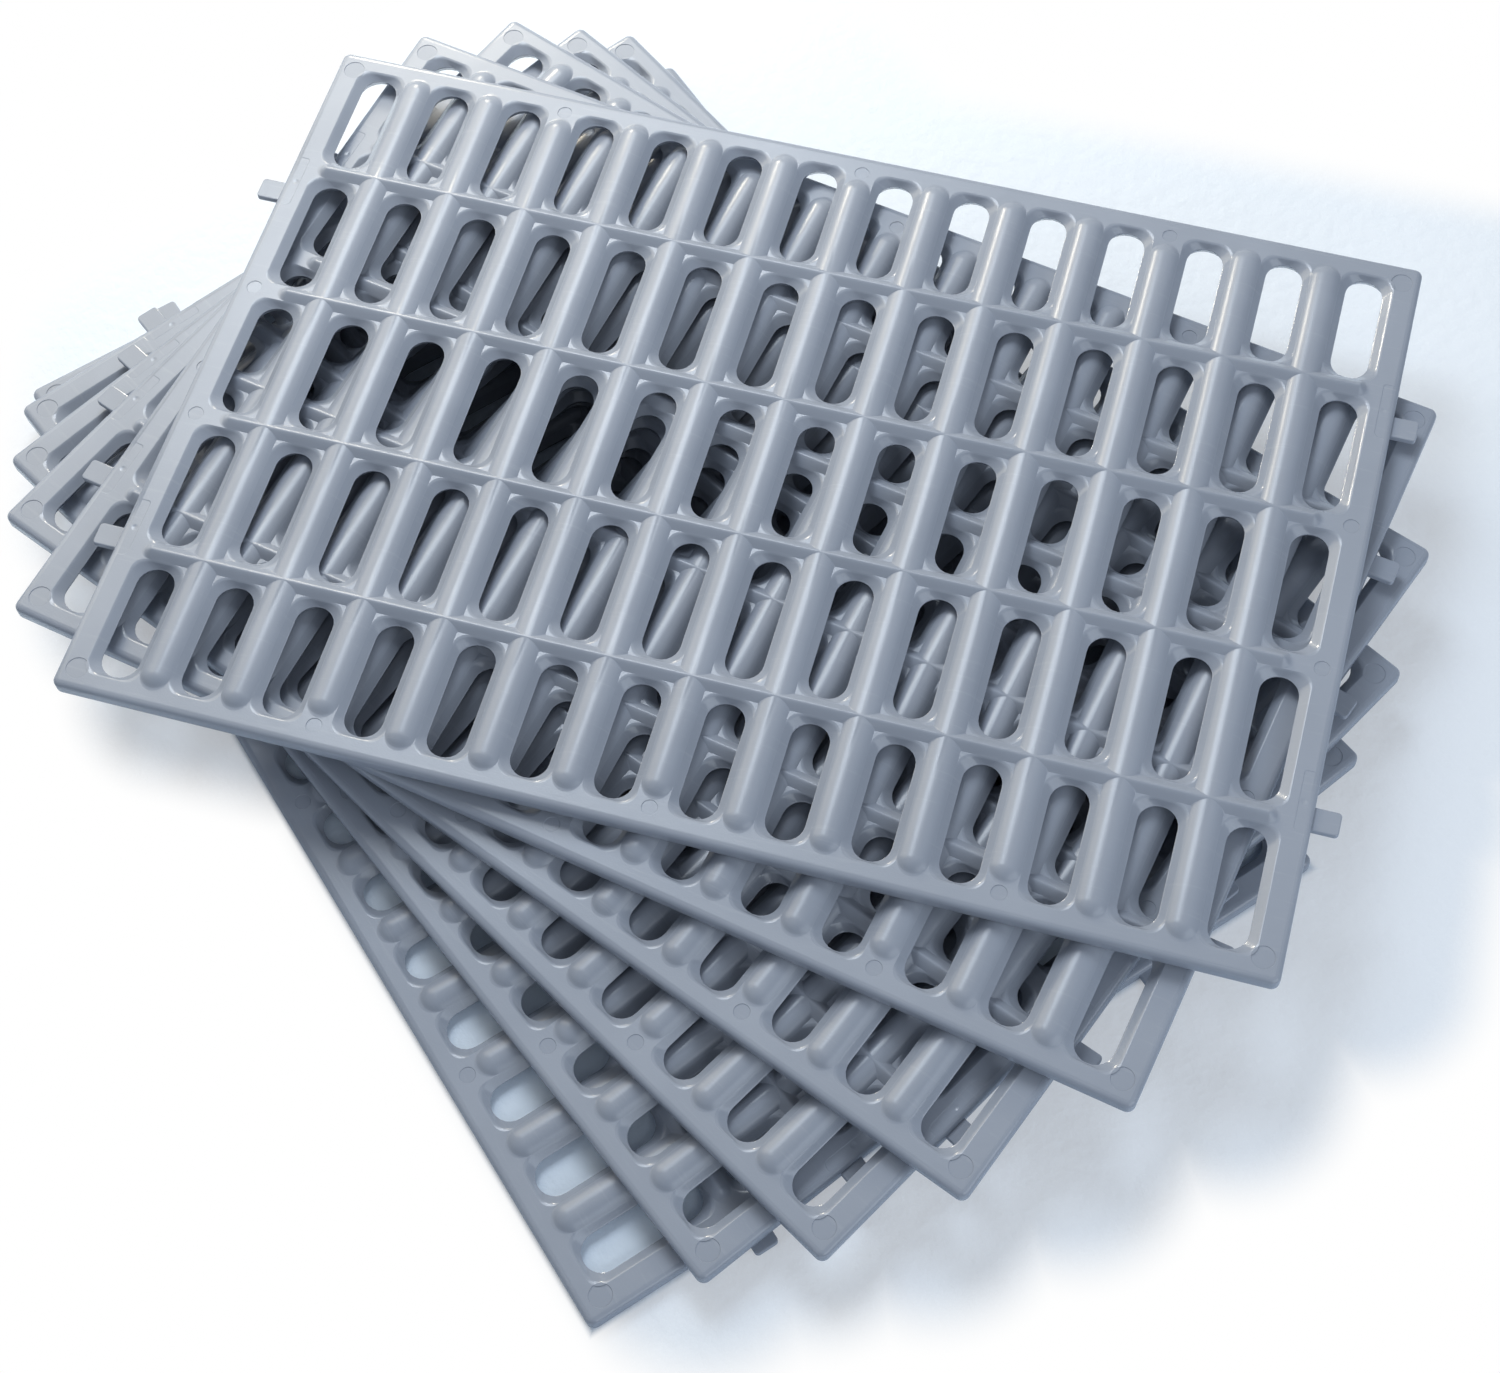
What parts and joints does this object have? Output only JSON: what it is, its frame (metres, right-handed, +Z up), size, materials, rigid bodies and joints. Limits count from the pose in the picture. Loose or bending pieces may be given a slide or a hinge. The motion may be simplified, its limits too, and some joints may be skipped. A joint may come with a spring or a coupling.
{
  "type": "stack of slotted floor trays",
  "caption": "Loose fanned stack of identical slotted plastic trays: obround slots, rounded bars, ridged ribs, flat rim and joining tabs; each tray turns on the one below.",
  "frame": {"origin": "middle of the bottom tray's underside, on the floor", "axes": "+Z up out of the stack, +X along the bottom tray's long side, +Y across it towards the side that the upper trays are shifted to"},
  "size_m": [0.4712, 0.4558, 0.0465],
  "materials": {
    "tray_plastic": "semi-gloss moulded blue-grey polypropylene"
  },
  "bodies": {
    "tray_6": {"tray_6": "tray_plastic"},
    "tray_5": {"tray_5": "tray_plastic"},
    "tray_4": {"tray_4": "tray_plastic"},
    "tray_3": {"tray_3": "tray_plastic"},
    "tray_2": {"tray_2": "tray_plastic"},
    "tray_1": {"tray_1": "tray_plastic"}
  },
  "joints": [
    {"name": "fan_5_on_6", "type": "hinge", "parent": "tray_6", "child": "tray_5", "pos_m": [-0.128, -0.03, 0.0078], "axis": [0, 0, 1], "range_deg": [-5.8, 24.2]},
    {"name": "fan_4_on_5", "type": "hinge", "parent": "tray_5", "child": "tray_4", "pos_m": [-0.06724, 0.05457, 0.0156], "axis": [0, 0, 1], "range_deg": [-6.5, 23.5]},
    {"name": "fan_3_on_4", "type": "hinge", "parent": "tray_4", "child": "tray_3", "pos_m": [-0.07312, 0.02054, 0.0234], "axis": [0, 0, 1], "range_deg": [-8.2, 21.8]},
    {"name": "fan_2_on_3", "type": "hinge", "parent": "tray_3", "child": "tray_2", "pos_m": [-0.05321, 0.03866, 0.0312], "axis": [0, 0, 1], "range_deg": [-10.8, 19.2]},
    {"name": "fan_1_on_2", "type": "hinge", "parent": "tray_2", "child": "tray_1", "pos_m": [-0.07356, 0.02979, 0.039], "axis": [0, 0, 1], "range_deg": [-10.4, 19.6]}
  ]
}
